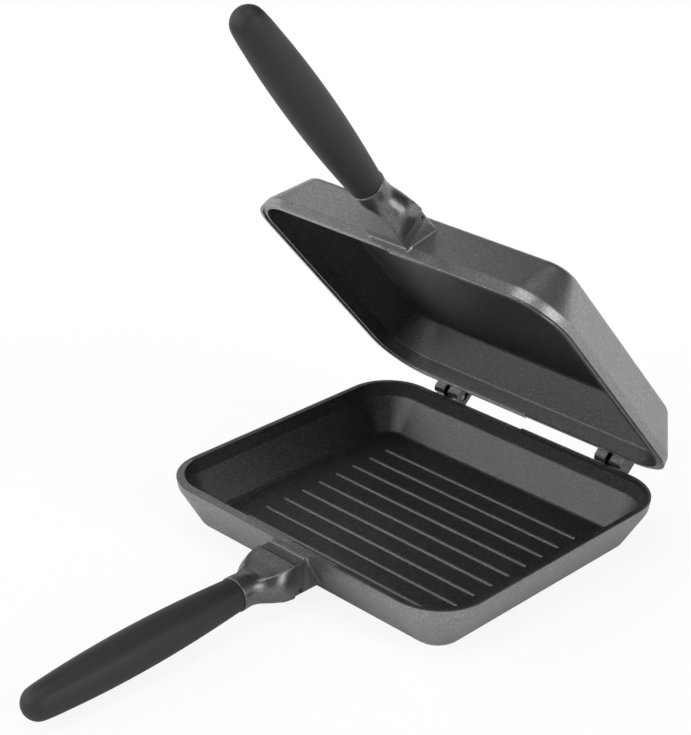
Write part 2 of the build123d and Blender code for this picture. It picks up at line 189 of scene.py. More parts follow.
class Finish:
    """A material and its node tree."""

    def __init__(self, name, colour):
        self.material = bpy.data.materials.new(name)
        self.material.diffuse_color = (*colour, 1)
        self.material.use_nodes = True
        self.tree = self.material.node_tree
        self.tree.nodes.clear()

    def node(self, kind, settings=None, values=None, output=0):
        """One node: its settings first, then the value or link of each socket. Returns one of its outputs."""
        made = self.tree.nodes.new(kind)
        for name, setting in (settings or {}).items():
            setattr(made, name, setting)
        for name, value in (values or {}).items():
            if isinstance(value, Socket):
                self.tree.links.new(value.output, made.inputs[name])
            else:
                made.inputs[name].default_value = value
        return Socket(self, made.outputs[output])

    def place(self):
        """Object coordinates, in metres."""
        return self.node("ShaderNodeTexCoord", output="Object")

    def axes(self, vector):
        """The three numbers of a vector."""
        split = self.node("ShaderNodeSeparateXYZ", None, {0: vector}).output.node
        return [Socket(self, output) for output in split.outputs]

    def noise(self, place, scale, detail, roughness):
        """Noise from 0 to 1, with this many cells to a metre."""
        values = {"Vector": place, "Scale": scale, "Detail": detail, "Roughness": roughness}
        return self.node("ShaderNodeTexNoise", None, values)

    def flecks(self, place, scale, share):
        """Small separate grains: 1 on a share of them, and 0 elsewhere."""
        values = {"Vector": place, "Scale": scale}
        cells = self.node("ShaderNodeTexVoronoi", {"feature": "F1"}, values, "Color")
        red = self.node("ShaderNodeSeparateColor", None, {0: cells})
        return red.above(1 - share)

    def tone(self, share, dark, light):
        """A colour between two plain ones, by a share from 0 to 1."""
        return self.blend(share, (*dark, 1), (*light, 1))

    def blend(self, share, first, second):
        """A mix of two colours, each a socket or four numbers, by a share from 0 to 1."""
        return self.node("ShaderNodeMix", {"data_type": "RGBA"}, {0: share, 6: first, 7: second}, 2)

    def bump(self, height, strength, depth):
        """A normal that follows a height."""
        return self.node("ShaderNodeBump", None, {"Height": height, "Strength": strength, "Distance": depth})

    def surface(self, **values):
        """The main shader, wired to the output."""
        named = {
            name.replace("_", " ").title().replace("Ior", "IOR"): value
            for name, value in values.items()
        }
        self.show(self.node("ShaderNodeBsdfPrincipled", None, named))

    def show(self, shader):
        """Wires a shader to the material's output."""
        end = self.tree.nodes.new("ShaderNodeOutputMaterial")
        self.tree.links.new(shader.output, end.inputs["Surface"])


class ShellSettings(PropertyGroup):
    """Colours and sizes of the two cast shells."""
    paint_dark: FloatVectorProperty(
        name="Paint, dark", description="Darkest grain of the metallic paint outside",
        default=(0.150, 0.150, 0.150), subtype="COLOR", min=0, max=1)
    paint_light: FloatVectorProperty(
        name="Paint, light", description="Lightest grain of the metallic paint outside",
        default=(0.340, 0.340, 0.340), subtype="COLOR", min=0, max=1)
    # Painted shade: the paint of the bosses and the brackets is darkened by this share.
    boss_painted_shade: FloatProperty(
        name="Boss shade", description="Tone of the bosses and the brackets, as a share of the shells' paint",
        default=0.60, min=0, max=1)
    coat_dark: FloatVectorProperty(
        name="Coating, dark", description="Ground of the non-stick coating inside",
        default=(0.004, 0.004, 0.004), subtype="COLOR", min=0, max=1)
    coat_light: FloatVectorProperty(
        name="Coating, light", description="Mineral specks in the non-stick coating inside",
        default=(0.055, 0.055, 0.055), subtype="COLOR", min=0, max=1)
    # The ribs' tops: rubbed wear, lightened further as a painted highlight.
    rib_wear_and_highlight: FloatVectorProperty(
        name="Ribs", description="Rubbed coating on the tops of the ribs",
        default=(0.200, 0.200, 0.200), subtype="COLOR", min=0, max=1)
    rim_width: FloatProperty(
        name="Rim width", description="Outside of the rim, along the hinge",
        default=0.270, unit="LENGTH")
    rim_depth: FloatProperty(
        name="Rim depth", description="Outside of the rim, handle side to hinge side",
        default=0.236, unit="LENGTH")
    rim_corner: FloatProperty(
        name="Rim corner", description="Corner radius of the rim",
        default=0.0365, unit="LENGTH")
    coat_edge: FloatProperty(
        name="Coating edge", description="Outside of the rim to the edge of the coating on the lip",
        default=0.0053, unit="LENGTH")
    lip_edge: FloatProperty(
        name="Lip edge", description="Outside of the rim to the coating, where that covers the lip",
        default=0.0012, unit="LENGTH")
    bare_start: FloatProperty(
        name="Bare lip, start", description="Middle of the pan to the bare part of the lip near the handle",
        default=0.088, unit="LENGTH")
    bare_end: FloatProperty(
        name="Bare lip, end", description="How far the bare part of the lip runs past the handle",
        default=0.040, unit="LENGTH")
    slope_start: FloatProperty(
        name="Slope start", description="Outside of the rim to the middle of the sloping wall at its start",
        default=0.0027, unit="LENGTH")
    slope_depth: FloatProperty(
        name="Slope depth", description="Parting plane to the start of the sloping wall",
        default=0.0073, unit="LENGTH")
    slope: FloatProperty(
        name="Slope", description="How far the wall leans in over a metre of its depth",
        default=0.592)
    depth: FloatProperty(
        name="Depth", description="Parting plane to the underside of the base",
        default=0.0382, unit="LENGTH")
    floor_middle: FloatProperty(
        name="Floor middle", description="Underside of the base to the middle of the floor",
        default=0.00125, unit="LENGTH")
    boss_start: FloatProperty(
        name="Boss start", description="Front of the rim to the shaded part of the boss",
        default=0.0022, unit="LENGTH")
    rib_foot: FloatProperty(
        name="Rib foot", description="Level at which a rib's rubbed top starts to show",
        default=0.0030, unit="LENGTH")
    rib_top: FloatProperty(
        name="Rib top", description="Level of the tops of the ribs",
        default=0.0037, unit="LENGTH")
    rib_length: FloatProperty(
        name="Rib length", description="Length of the zone that holds the ribs",
        default=0.184, unit="LENGTH")
    rib_field: FloatProperty(
        name="Rib field", description="Depth of the zone that holds the ribs",
        default=0.146, unit="LENGTH")
    # The hinge blocks behind the rim get the coating's dark ground as a painted shade.
    hinge_gap: FloatProperty(
        name="Hinge gap", description="Back of the rim to the dark part of the hinge blocks",
        default=0.0012, unit="LENGTH")
    hinge_zone: FloatProperty(
        name="Hinge zone", description="Highest level of the hinge blocks",
        default=0.0500, unit="LENGTH")


class GripSettings(PropertyGroup):
    """Colours and sizes of the two grips."""
    rubber_dark: FloatVectorProperty(
        name="Rubber, dark", description="Ground of the soft touch rubber",
        default=(0.010, 0.010, 0.010), subtype="COLOR", min=0, max=1)
    rubber_light: FloatVectorProperty(
        name="Rubber, light", description="Lightest grain of the soft touch rubber",
        default=(0.022, 0.022, 0.022), subtype="COLOR", min=0, max=1)
    handle_start: FloatProperty(
        name="Handle start", description="Middle of the pan to the bracket's face",
        default=0.128, unit="LENGTH")
    handle_level: FloatProperty(
        name="Handle level", description="Parting plane to the handle's axis at the bracket's face",
        default=0.0157, unit="LENGTH")
    handle_angle: FloatProperty(
        name="Handle angle", description="How far the handle leans away from the parting plane",
        default=radians(2.2), unit="ROTATION")
    neck_length: FloatProperty(
        name="Neck length", description="Bracket's face to the grip's front end",
        default=0.0395, unit="LENGTH")
    length: FloatProperty(
        name="Length", description="Length of the grip",
        default=0.1671, unit="LENGTH")
    front_radius: FloatProperty(
        name="Front radius", description="Radius at the grip's front end",
        default=0.0114, unit="LENGTH")
    belly_radius: FloatProperty(
        name="Belly radius", description="Largest radius of the grip",
        default=0.01475, unit="LENGTH")
    nose_radius: FloatProperty(
        name="Nose radius", description="Radius of the ball end",
        default=0.0115, unit="LENGTH")
    front_round: FloatProperty(
        name="Front edge", description="Round of the rubber's front edge",
        default=0.0005, unit="LENGTH")
    thickness: FloatProperty(
        name="Thickness", description="Thickness of the rubber over the core",
        default=0.0022, unit="LENGTH")


class BracketSettings(PropertyGroup):
    """Sizes of the hidden ends of the two handle brackets, from the handle's axis."""
    face_half_top: FloatProperty(
        name="Face, top", description="Half the width of the face's top edge",
        default=0.0170, unit="LENGTH")
    face_half_bottom: FloatProperty(
        name="Face, bottom", description="Half the width of the face's lower edge",
        default=0.0155, unit="LENGTH")
    face_top: FloatProperty(
        name="Face, up", description="Handle's axis to the face's top edge",
        default=0.0112, unit="LENGTH")
    face_bottom: FloatProperty(
        name="Face, down", description="Handle's axis to the face's lower edge",
        default=-0.0133, unit="LENGTH")
    tenon_half: FloatProperty(
        name="Tenon width", description="Half the width of the tenon in the boss",
        default=0.0127, unit="LENGTH")
    tenon_top: FloatProperty(
        name="Tenon, up", description="Handle's axis to the top of the tenon",
        default=0.0084, unit="LENGTH")
    tenon_bottom: FloatProperty(
        name="Tenon, down", description="Handle's axis to the underside of the tenon",
        default=-0.0120, unit="LENGTH")
    tenon_length: FloatProperty(
        name="Tenon length", description="Length of the tenon in the boss",
        default=0.0088, unit="LENGTH")
    tang_half: FloatProperty(
        name="Tang width", description="Half the width of the square tang in the grip",
        default=0.0049, unit="LENGTH")
    tang_length: FloatProperty(
        name="Tang length", description="Length of the tang in the grip",
        default=0.0079, unit="LENGTH")


class MetalSettings(PropertyGroup):
    """Colours of the small metal and plastic parts."""
    hinge_steel: FloatVectorProperty(
        name="Hinge steel", description="Colour of the hinge pins",
        default=(0.36, 0.36, 0.37), subtype="COLOR", min=0, max=1)
    spring_steel: FloatVectorProperty(
        name="Spring steel", description="Colour of the brackets' roll pins",
        default=(0.10, 0.10, 0.11), subtype="COLOR", min=0, max=1)
    zinc: FloatVectorProperty(
        name="Zinc", description="Colour of the plated bolts and washers",
        default=(0.48, 0.49, 0.51), subtype="COLOR", min=0, max=1)
    brass: FloatVectorProperty(
        name="Brass", description="Colour of the threaded inserts",
        default=(0.60, 0.46, 0.22), subtype="COLOR", min=0, max=1)
    core_plastic: FloatVectorProperty(
        name="Core plastic", description="Colour of the grips' stiff cores",
        default=(0.035, 0.035, 0.035), subtype="COLOR", min=0, max=1)


class StageSettings(PropertyGroup):
    """The studio round the pan."""
    camera_place: FloatVectorProperty(
        name="Camera", description="Where the camera stands",
        default=(0.79381, -0.88232, 0.69687), subtype="TRANSLATION", unit="LENGTH")
    camera_turn: FloatProperty(
        name="Camera turn", description="Turn of the view round the pan, from straight in front",
        default=radians(44.255), unit="ROTATION")
    camera_height: FloatProperty(
        name="Camera height", description="Angle of the view above the table",
        default=radians(25.6965), unit="ROTATION")
    camera_roll: FloatProperty(
        name="Camera roll", description="Tilt of the picture",
        default=radians(0.8406), unit="ROTATION")
    lens: FloatProperty(
        name="Lens", description="Focal length in millimetres on a 36 mm sensor",
        default=95.83)
    white: FloatVectorProperty(
        name="White", description="Colour of the floor",
        default=(0.95, 0.95, 0.95), subtype="COLOR", min=0, max=1)
    glow: FloatProperty(
        name="White share", description="How much of the floor's look is plain white, with no shadow",
        default=0.88, min=0, max=1)
    mirrored_glow: FloatProperty(
        name="Mirrored white share", description="The same, where the metal mirrors the floor",
        default=0.10, min=0, max=1)
    room: FloatProperty(
        name="Room light", description="Even light from all round",
        default=0.04, min=0, max=1)
    near_window: FloatVectorProperty(
        name="Near window", description="Where the window near the camera lies",
        default=(0.20, -0.88, 0.42), subtype="DIRECTION")
    near_power: FloatProperty(
        name="Near power", description="Strength of the window near the camera",
        default=0.40)
    front_window: FloatVectorProperty(
        name="Front window", description="Where the front window lies",
        default=(-0.23, -0.88, 0.42), subtype="DIRECTION")
    front_power: FloatProperty(
        name="Front power", description="Strength of the front window",
        default=1.08)
    corner_window: FloatVectorProperty(
        name="Corner window", description="Where the window in the front left corner lies",
        default=(-0.69, -0.58, 0.42), subtype="DIRECTION")
    corner_power: FloatProperty(
        name="Corner power", description="Strength of the window in the front left corner",
        default=1.04)
    left_window: FloatVectorProperty(
        name="Left window", description="Where the left window lies",
        default=(-0.90, -0.08, 0.42), subtype="DIRECTION")
    left_power: FloatProperty(
        name="Left power", description="Strength of the left window",
        default=0.60)
    right_window: FloatVectorProperty(
        name="Right window", description="Where the right window lies",
        default=(0.88, 0.12, 0.45), subtype="DIRECTION")
    right_power: FloatProperty(
        name="Right power", description="Strength of the right window",
        default=1.60)
    top_window: FloatVectorProperty(
        name="Top window", description="Where the top window lies",
        default=(0.00, -0.03, 1.00), subtype="DIRECTION")
    top_power: FloatProperty(
        name="Top power", description="Strength of the top window",
        default=1.10)
    lamp_place: FloatVectorProperty(
        name="Lamp", description="Where the near lamp hangs, behind the pan on the left",
        default=(-0.62, 0.32, 0.73), subtype="TRANSLATION", unit="LENGTH")
    lamp_size: FloatProperty(
        name="Lamp size", description="Side of the near lamp's square",
        default=0.30, unit="LENGTH")
    lamp_power: FloatProperty(
        name="Lamp power", description="Power of the near lamp in watts",
        default=0.36)
    window_width: FloatProperty(
        name="Window width", description="Angle that each window covers",
        default=radians(40), unit="ROTATION")


def settings():
    """The scene's settings of the flip pan."""
    return bpy.context.scene.flip_pan_settings


def paint_node(name, finish):
    """Gives a CAD node a finish in each of its material slots."""
    node = frame["nodes"][name]
    if not node.material_slots:
        node.data.materials.append(finish)
    for slot in node.material_slots:
        slot.link = "OBJECT"
        slot.material = finish


def shut_place(finish, half):
    """Place on a shell as it lies in the shut pan. The lid's is turned back about its hinge."""
    place = finish.place()
    if half == "lower_":
        return place
    line = Vector(LID_HINGE["pos_m"])
    back = Matrix.Rotation(radians(LID_HINGE["range_deg"][0]), 3, Vector(LID_HINGE["axis"]))
    values = {
        "Vector": place,
        "Location": line - back @ line,
        "Rotation": Vector(back.to_euler()),
    }
    return finish.node("ShaderNodeMapping", {"vector_type": "POINT"}, values)


def inside_mask(finish, place, half):
    """1 on the cooking side of a shell, up to the middle of its lip, and 0 outside."""
    shell = settings().shell
    x, y, z = finish.axes(place)
    depth = shell.depth - z if half == "lower_" else z - shell.depth
    slope = (depth - shell.slope_depth) * shell.slope + shell.slope_start
    edge = shell.coat_edge
    if half == "lower_":
        bare = (-shell.bare_start - y).above(0) * (shell.bare_end - x).above(0)
        edge = shell.lip_edge + bare * (shell.coat_edge - shell.lip_edge)
    inset = slope.at_least(edge)
    corner = shell.rim_corner - inset * CORNER_SHRINK
    across = (x.size() - shell.rim_width / 2 + inset + corner).at_least(0)
    along = (y.size() - shell.rim_depth / 2 + inset + corner).at_least(0)
    beyond = (across * across + along * along).root() - corner
    within = 1 - beyond.above(0)
    above_floor = 1 - depth.above(shell.depth - shell.floor_middle)
    return within * above_floor


def hinge_painted_shade_mask(finish, place):
    """1 on the hinge blocks behind the rim, which get a painted shade, and 0 elsewhere."""
    shell = settings().shell
    y, z = finish.axes(place)[1:]
    return (y - shell.rim_depth / 2).above(shell.hinge_gap) * (shell.hinge_zone - z.size()).above(0)


def rib_mask(finish, place):
    """1 on the tops of the ribs in the pan's floor, where they get rubbed wear and a painted highlight, and 0
    elsewhere.
    """
    shell = settings().shell
    x, y, z = finish.axes(place)
    ribs = (shell.rib_length / 2 - x.size()).above(0) * (shell.rib_field / 2 - y.size()).above(0)
    return ribs * z.rise(shell.rib_foot, shell.rib_top) * (shell.depth / 2 - z).above(0)


def paint_grain(finish, place):
    """The grain of the sprayed metallic paint: (share of light grain, height, roughness)."""
    spray = finish.noise(place, PAINT_SPRAY, detail=2, roughness=0.75)
    peel = finish.noise(place, PAINT_PEEL, detail=2, roughness=0.6)
    drift = finish.noise(place, PAINT_DRIFT, detail=2, roughness=0.5)
    flakes = finish.flecks(place, PAINT_FLAKES, FLAKE_SHARE)
    share = (spray - 0.5) * 1.9 + (peel - 0.5) * 0.4 + (drift - 0.5) * 0.3 + flakes * 0.30 + 0.42
    height = spray * 0.6 + peel * 0.8
    return share.held(), height, PAINT_ROUGHNESS + spray * 0.12 - flakes * 0.06


def coat_grain(finish, place):
    """The grain of the mineral non-stick coating: (share of light grain, height, roughness)."""
    grit = finish.noise(place, COAT_GRIT, detail=2, roughness=0.75)
    patch = finish.noise(place, COAT_PATCH, detail=2, roughness=0.6)
    specks = finish.flecks(place, COAT_SPECKS, SPECK_SHARE)
    share = (grit - 0.5) * 3.0 + (patch - 0.5) * 0.3 + specks * 0.7 + 0.28
    height = grit * 1.5 + specks * 0.2
    return share.held(), height, COAT_ROUGHNESS + grit * 0.20 - specks * 0.06


def shaded(colour, share):
    """A darker tone of a colour."""
    return [channel * share for channel in colour]


def painted_shade_bracket_tones():
    """The darkest and the lightest grain of the paint on the bosses and the brackets, darkened by a share as
    a painted shade.
    """
    shell = settings().shell
    return [shaded(paint, shell.boss_painted_shade) for paint in (shell.paint_dark, shell.paint_light)]


def shell_finish(half):
    """Metallic paint outside and dark mineral coating inside, on one cast shell, with painted shade on the
    boss and the hinge blocks and a painted highlight on the ribs' rubbed tops.
    """
    shell = settings().shell
    finish = Finish(half + "casting", shell.paint_light)
    place = shut_place(finish, half)
    # Painted shade: the hinge blocks behind the rim take the coating's dark ground, in place of the paint.
    hinge = hinge_painted_shade_mask(finish, place)
    inside = inside_mask(finish, place, half).at_least(hinge)
    outside = 1 - inside
    paint_share, paint_height, paint_rough = paint_grain(finish, place)
    coat_share, coat_height, coat_rough = coat_grain(finish, place)
    y = finish.axes(place)[1]
    # Painted shade: the boss beyond the rim's front gets the paint's darkened tones, as the brackets do.
    boss = (-shell.rim_depth / 2 - shell.boss_start - y).above(0)
    paint = finish.tone(paint_share, shell.paint_dark, shell.paint_light)
    paint = finish.blend(boss, paint, finish.tone(paint_share, *painted_shade_bracket_tones()))
    # The ribs' tops: rubbed wear, with a painted highlight in their light tone.
    rubbed_and_highlit = rib_mask(finish, place)
    coat = finish.tone(coat_share * (1 - hinge), shell.coat_dark, shell.coat_light)
    coat = finish.blend(rubbed_and_highlit * RUBBED_AND_HIGHLIT_SHARE, coat, (*shell.rib_wear_and_highlight, 1))
    height = outside * paint_height * 0.40 + (inside - hinge) * coat_height
    finish.surface(
        base_color=finish.blend(inside, paint, coat),
        metallic=outside * PAINT_METALLIC + (inside - hinge) * COAT_METALLIC,
        roughness=outside * paint_rough + inside * (coat_rough - rubbed_and_highlit * 0.12 - hinge * 0.08),
        specular_ior_level=0.75,
        normal=finish.bump(height, strength=0.9, depth=PAINT_DEPTH),
    )
    return finish.material


def bracket_finish(half):
    """The shells' metallic paint on a bracket, darkened as a painted shade."""
    shell = settings().shell
    finish = Finish(half + "bracket_paint", shell.paint_light)
    share, height, rough = paint_grain(finish, finish.place())
    finish.surface(
        base_color=finish.tone(share, *painted_shade_bracket_tones()),
        metallic=PAINT_METALLIC,
        roughness=rough - 0.05,
        normal=finish.bump(height * 0.35, strength=0.6, depth=PAINT_DEPTH),
    )
    return finish.material


def rubber_finish():
    """Matt soft touch rubber with a fine moulded grain."""
    grip = settings().grip
    finish = Finish("soft_touch_rubber", grip.rubber_light)
    place = finish.place()
    grain = finish.noise(place, RUBBER_GRAIN, detail=2, roughness=0.7)
    cloud = finish.noise(place, RUBBER_CLOUD, detail=2, roughness=0.5)
    share = (grain - 0.5) + (cloud - 0.5) * 0.5 + 0.5
    finish.surface(
        base_color=finish.tone(share.held(), grip.rubber_dark, grip.rubber_light),
        roughness=RUBBER_ROUGHNESS + cloud * 0.10 + grain * 0.06,
        specular_ior_level=0.38,
        normal=finish.bump(grain, strength=0.4, depth=RUBBER_DEPTH),
    )
    return finish.material


def metal_finish(name, colour, roughness, stretch):
    """Bare or plated metal with fine tool marks that run round or along it."""
    finish = Finish(name, colour)
    place = finish.node("ShaderNodeMapping", None, {"Vector": finish.place(), "Scale": stretch})
    marks = finish.noise(place, METAL_MARKS, detail=3, roughness=0.6)
    stain = finish.noise(finish.place(), METAL_STAIN, detail=2, roughness=0.5)
    share = (marks - 0.5) * 0.8 + (stain - 0.5) + 0.6
    finish.surface(
        base_color=finish.tone(share.held(), shaded(colour, 0.72), colour),
        metallic=METAL_METALLIC,
        roughness=roughness + marks * 0.12,
        normal=finish.bump(marks, strength=0.3, depth=METAL_DEPTH),
    )
    return finish.material


def plastic_finish(name, colour):
    """Moulded stiff plastic with a faint grain."""
    finish = Finish(name, colour)
    place = finish.place()
    grain = finish.noise(place, PLASTIC_GRAIN, detail=2, roughness=0.5)
    flow = finish.noise(place, PLASTIC_FLOW, detail=2, roughness=0.5)
    finish.surface(
        base_color=finish.tone(flow, shaded(colour, 0.7), colour),
        roughness=PLASTIC_ROUGHNESS + flow * 0.15,
        normal=finish.bump(grain, strength=0.2, depth=PLASTIC_DEPTH),
    )
    return finish.material


def handle_frame():
    """Turns a piece made along +Z, from the bracket's face at the origin, on to the lower handle's axis."""
    grip = settings().grip
    origin = Vector((0, -grip.handle_start, settings().shell.depth - grip.handle_level))
    along = Vector((0, -cos(grip.handle_angle), -sin(grip.handle_angle)))
    across = Vector((1, 0, 0))
    up = along.cross(across)
    turn = Matrix((across, up, along)).transposed().to_4x4()
    return Matrix.Translation(origin) @ turn


def to_lid():
    """Takes a piece of the lower half to its place on the opened lid: mirrored, then turned on the hinge."""
    level = settings().shell.depth
    mirror = Matrix.Translation((0, 0, 2 * level)) @ Matrix.Scale(-1, 4, (0, 0, 1))
    line = Vector(LID_HINGE["pos_m"])
    opening = -LID_HINGE["range_deg"][0]
    turn = Matrix.Rotation(radians(opening), 4, Vector(LID_HINGE["axis"]))
    return Matrix.Translation(line) @ turn @ Matrix.Translation(-line) @ mirror


def spun(profile, steps):
    """A bmesh spun about Z from a side of (radius, height) points."""
    form = bmesh.new()
    start = [form.verts.new((radius, 0, height)) for radius, height in profile]
    edges = [form.edges.new(pair) for pair in zip(start, start[1:])]
    bmesh.ops.spin(
        form, geom=start + edges, cent=(0, 0, 0), axis=(0, 0, 1), dvec=(0, 0, 0),
        angle=radians(360), steps=steps, use_merge=True)
    return form


def made_object(name, form, finish, merge=MERGE_DISTANCE):
    """Makes a smooth object of a bmesh, with its doubles merged and its faces turned outwards."""
    bmesh.ops.remove_doubles(form, verts=form.verts, dist=merge)
    bmesh.ops.recalc_face_normals(form, faces=form.faces)
    mesh = bpy.data.meshes.new(name)
    form.to_mesh(mesh)
    form.free()
    mesh.polygons.foreach_set("use_smooth", [True] * len(mesh.polygons))
    mesh.materials.append(finish)
    made = bpy.data.objects.new(name, mesh)
    bpy.context.scene.collection.objects.link(made)
    return made


def finished_piece(name, form, half, finish, replaced, levels):
    """Makes an object of a bmesh of the lower half, in its place in one half, and lets it ride there."""
    if half == "upper_":
        bmesh.ops.transform(form, matrix=to_lid(), verts=form.verts)
    piece = made_object(name, form, finish)
    rounding = piece.modifiers.new("Rounding", "SUBSURF")
    rounding.levels = levels
    rounding.render_levels = levels
    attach(piece, BODY_OF_HALF[half])
    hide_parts(*replaced)


def grip_profile(inset, front_end):
    """Radii and distances along a grip's side, from its nose to its front end, brought in by an inset."""
    grip = settings().grip
    nose = grip.length - grip.nose_radius
    ball = [(sin(radians(angle)), cos(radians(angle))) for angle in GRIP_BALL]
    points = [(grip.nose_radius * out, nose + grip.nose_radius * up) for out, up in ball]
    for radius, side in ((grip.nose_radius, GRIP_BACK), (grip.front_radius, GRIP_FRONT)):
        swell = grip.belly_radius - radius
        points += [(radius + share * swell, reach * grip.length) for share, reach in side]
    points = [(max(radius - inset, 0), min(along, grip.length - inset)) for radius, along in points]
    return points + [(grip.front_radius - inset, front_end)]


def grip_sleeve_form():
    """The rubber sleeve of a grip, spun about the handle's axis."""
    grip = settings().grip
    front = grip.front_round
    outside = grip_profile(0, front)
    middle = ROUND_MIDDLE * front
    edge = [(grip.front_radius - middle, middle), (grip.front_radius - front, 0)]
    inside = grip_profile(grip.thickness, 0)
    side = outside + edge + inside[::-1]
    form = spun([(radius, along + grip.neck_length) for radius, along in side], GRIP_STEPS)
    bmesh.ops.transform(form, matrix=handle_frame(), verts=form.verts)
    return form


def section_ring(ridge_out, ridge_up, crown, side_out, side_up, corner_out, corner_down, keel):
    """The corners of a bracket's cross-section, from the middle of its top round its -X side."""
    crown_out, crown_up = CROWN_POINT
    shoulder_out, shoulder_up = SHOULDER_POINT
    flank_out, flank_up = FLANK_POINT
    half = [
        (0, ridge_up + crown),
        (crown_out * ridge_out, ridge_up + crown_up * crown),
        (ridge_out, ridge_up),
        (ridge_out + shoulder_out * (side_out - ridge_out), side_up + shoulder_up * (ridge_up - side_up)),
        (side_out, side_up),
        (corner_out + flank_out * (side_out - corner_out), flank_up * (side_up - corner_down)),
        (corner_out, -corner_down),
        (crown_out * corner_out, -corner_down - crown_up * keel),
        (0, -corner_down - keel),
    ]
    return [(-out, up) for out, up in half] + half[-2:0:-1]


def box_ring(half_width, top, bottom):
    """The same for a plain oblong section."""
    middle = (top + bottom) / 2
    return section_ring(half_width, top, 0, half_width, middle, half_width, -bottom, 0)


def round_ring(radius):
    """The same for a round section. It is widened, so that the rounded surface has this radius."""
    step = radians(360 / RING_CORNERS)
    cage = radius * 3 / (2 + cos(step))
    return [(-cage * sin(step * corner), cage * cos(step * corner)) for corner in range(RING_CORNERS)]


def bracket_face():
    """Sizes of a bracket's face where it meets the boss, as section_ring takes them."""
    bracket = settings().bracket
    top, bottom = bracket.face_half_top, bracket.face_half_bottom
    return top, bracket.face_top, 0, (top + bottom) / 2, 0, bottom, -bracket.face_bottom, 0


def bracket_rings():
    """Every ring of a bracket with its distance from the face, and where the sections and the tang start."""
    grip, bracket = settings().grip, settings().bracket
    tenon = box_ring(bracket.tenon_half, bracket.tenon_top, bracket.tenon_bottom)
    tang = box_ring(bracket.tang_half, bracket.tang_half, -bracket.tang_half)
    rings = [(-bracket.tenon_length, tenon), (0, tenon), (0, section_ring(*bracket_face()))]
    first_section = len(rings)
    for along, *sizes in BRACKET_SECTIONS:
        rings.append((along / MM_PER_M, section_ring(*[size / MM_PER_M for size in sizes])))
    rings += [(along / MM_PER_M, round_ring(radius / MM_PER_M)) for along, radius in BRACKET_NECK]
    first_of_tang = len(rings)
    rings += [(grip.neck_length, tang), (grip.neck_length + bracket.tang_length, tang)]
    return rings, first_section, first_of_tang


def loop_edges(form, loop):
    """The edges round a closed loop of vertices."""
    return [form.edges.get(pair) for pair in zip(loop, loop[1:] + loop[:1])]


def bracket_form():
    """A handle bracket with its tenon in the boss and its tang in the grip, as a cage to be rounded."""
    lean = tan(settings().grip.handle_angle)
    rings, first_section, first_of_tang = bracket_rings()
    # Sharp edges run round the tenon, the face, the first section, the neck's end and the tang.
    sharp = {*range(first_section + 1), *range(first_of_tang - 2, len(rings))}

    form = bmesh.new()
    crease = form.edges.layers.float.new("crease_edge")
    loop = bmesh.ops.create_circle(form, cap_ends=True, segments=RING_CORNERS, radius=1)["verts"]
    for index, (along, ring) in enumerate(rings):
        if index:
            last = loop
            made = set(bmesh.ops.extrude_edge_only(form, edges=loop_edges(form, last))["geom"])
            loop = [next(e.other_vert(v) for e in v.link_edges if e.other_vert(v) in made) for v in last]
            step = min(max(index - first_section - 1, 0), len(RIDGE_CREASES) - 1)
            square = index <= first_section or index > first_of_tang
            for corner, pair in enumerate(zip(last, loop)):
                creases = CREASES_OF_CORNER.get(corner)
                sharpness = 1.0 if square or not creases else creases[step]
                form.edges.get(pair)[crease] = sharpness if creases else 0.0
        for vertex, (out, up) in zip(loop, ring):
            # The face stands upright against the boss, although the handle leans.
            flush = -up * lean if index in (1, 2) else 0
            vertex.co = (out, up, along + flush)
        for edge in loop_edges(form, loop):
            edge[crease] = 1.0 if index in sharp else 0.0
    bmesh.ops.edgeloop_fill(form, edges=loop_edges(form, loop))
    bmesh.ops.transform(form, matrix=handle_frame(), verts=form.verts)
    return form


class FLIPPAN_OT_shells(Operator):
    """Finish both cast shells: metallic paint outside, dark coating inside"""
    bl_idname = "flip_pan.shells"
    bl_label = "Shells"

    def execute(self, context):
        for half in HALVES:
            paint_node(half + "shell", shell_finish(half))
        return {"FINISHED"}


class FLIPPAN_OT_brackets(Operator):
    """Build both handle brackets in metallic paint"""
    bl_idname = "flip_pan.brackets"
    bl_label = "Brackets"

    def execute(self, context):
        for half in HALVES:
            replaced = [half + "handle_bracket"]
            paint = bracket_finish(half)
            finished_piece(half + "bracket", bracket_form(), half, paint, replaced, levels=3)
        return {"FINISHED"}


class FLIPPAN_OT_grips(Operator):
    """Build both soft touch grips over their cores"""
    bl_idname = "flip_pan.grips"
    bl_label = "Grips"

    def execute(self, context):
        rubber = rubber_finish()
        core = plastic_finish("grip_core_plastic", settings().metal.core_plastic)
        for half in HALVES:
            replaced = [half + "grip_sleeve"]
            finished_piece(half + "grip", grip_sleeve_form(), half, rubber, replaced, levels=1)
            paint_node(half + "grip_core", core)
        return {"FINISHED"}


class FLIPPAN_OT_hinges(Operator):
    """Finish the two hinge pins"""
    bl_idname = "flip_pan.hinges"
    bl_label = "Hinge Pins"

    def execute(self, context):
        colour = settings().metal.hinge_steel
        steel = metal_finish("hinge_pin_steel", colour, roughness=0.28, stretch=(1, 6, 6))
        for name in ("left_hinge_pin", "right_hinge_pin"):
            paint_node(name, steel)
        return {"FINISHED"}


class FLIPPAN_OT_fixings(Operator):
    """Finish the roll pins, bolts, washers and inserts of both handles"""
    bl_idname = "flip_pan.fixings"
    bl_label = "Handle Fixings"

    def execute(self, context):
        metal = settings().metal
        spring = metal_finish("spring_steel", metal.spring_steel, roughness=0.35, stretch=(1, 5, 5))
        zinc = metal_finish("zinc_plating", metal.zinc, roughness=0.25, stretch=(5, 1, 5))
        brass = metal_finish("brass", metal.brass, roughness=0.25, stretch=(5, 1, 5))
        for half in HALVES:
            paint_node(half + "bracket_roll_pin", spring)
            paint_node(half + "grip_insert", brass)
            for name in ("handle_bolt", "bolt_washer", "bolt_lock_washer"):
                paint_node(half + name, zinc)
        return {"FINISHED"}


